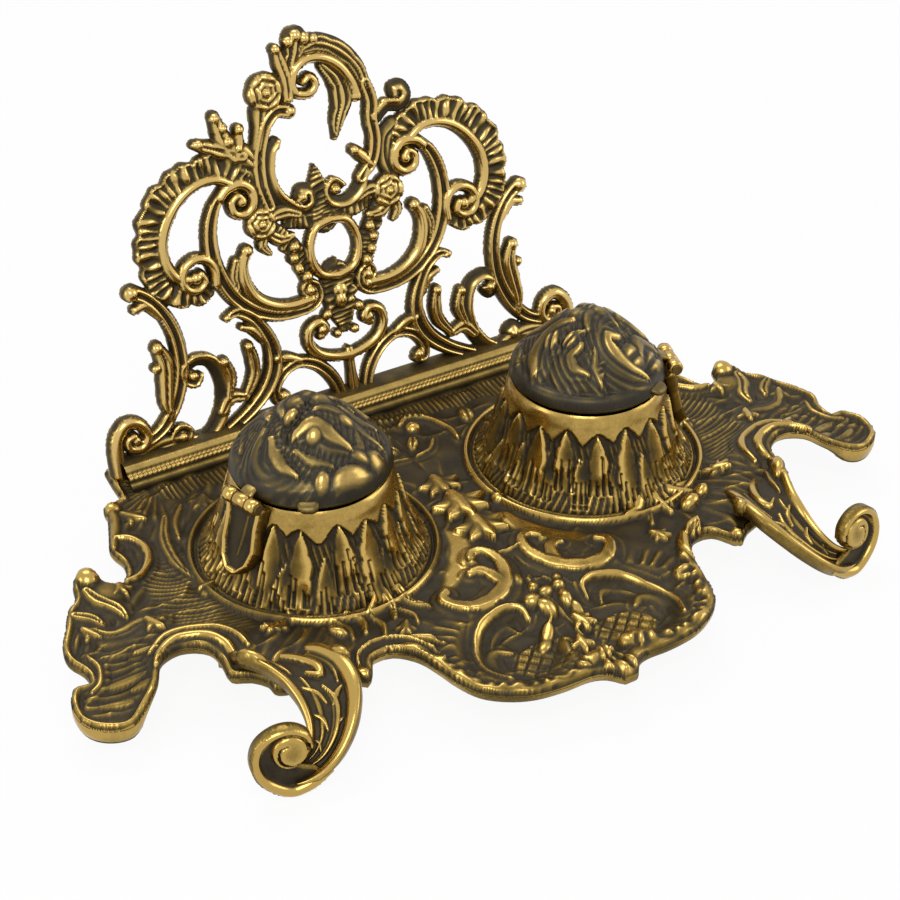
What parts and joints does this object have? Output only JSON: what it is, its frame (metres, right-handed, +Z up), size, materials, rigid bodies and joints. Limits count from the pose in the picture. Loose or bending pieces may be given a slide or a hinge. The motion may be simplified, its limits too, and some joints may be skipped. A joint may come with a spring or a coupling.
{
  "type": "desk inkstand",
  "caption": "Cast brass double inkstand: footed tray with front dish, leaning openwork back gallery, and two bell wells with hinged domed lids over black ink pots.",
  "frame": {"origin": "centre of the bounding box, on the plane the feet stand on", "axes": "+X along the width to the viewer's right, -Y towards the front dish, +Z up"},
  "size_m": [0.316, 0.2185, 0.1555],
  "materials": {
    "brass_cast": "cast antique brass, dark patina in the hollows and worn bright on the ridges",
    "brass_gallery": "cast antique brass, worn bright on the scrolls",
    "brass_lid": "cast antique brass with a heavy dark patina",
    "brass_pin": "drawn brass",
    "steel_screw": "aged steel",
    "black_glass": "opaque pressed black, glossy"
  },
  "bodies": {
    "stand": {"tray": "brass_cast", "gallery": "brass_gallery", "well_left": "brass_cast", "hinge_strap_left": "brass_cast", "hinge_pin_left": "brass_pin", "ink_pot_left": "black_glass", "well_right": "brass_cast", "hinge_strap_right": "brass_cast", "hinge_pin_right": "brass_pin", "ink_pot_right": "black_glass", "well_screw_left_front": "steel_screw", "well_screw_left_back": "steel_screw", "well_screw_right_front": "steel_screw", "well_screw_right_back": "steel_screw", "gallery_screw_left": "steel_screw", "gallery_screw_middle": "steel_screw", "gallery_screw_right": "steel_screw", "back_foot_left": "brass_cast", "back_foot_right": "brass_cast"},
    "lid_left_body": {"lid_left": "brass_lid"},
    "lid_right_body": {"lid_right": "brass_lid"}
  },
  "joints": [
    {"name": "lid_left_hinge", "type": "hinge", "parent": "stand", "child": "lid_left_body", "pos_m": [-0.0846, -0.00654, 0.0526], "axis": [0.2756, -0.9613, 0], "range_deg": [0, 100]},
    {"name": "lid_right_hinge", "type": "hinge", "parent": "stand", "child": "lid_right_body", "pos_m": [0.0846, -0.00654, 0.0526], "axis": [0.2756, 0.9613, 0], "range_deg": [0, 100]}
  ]
}
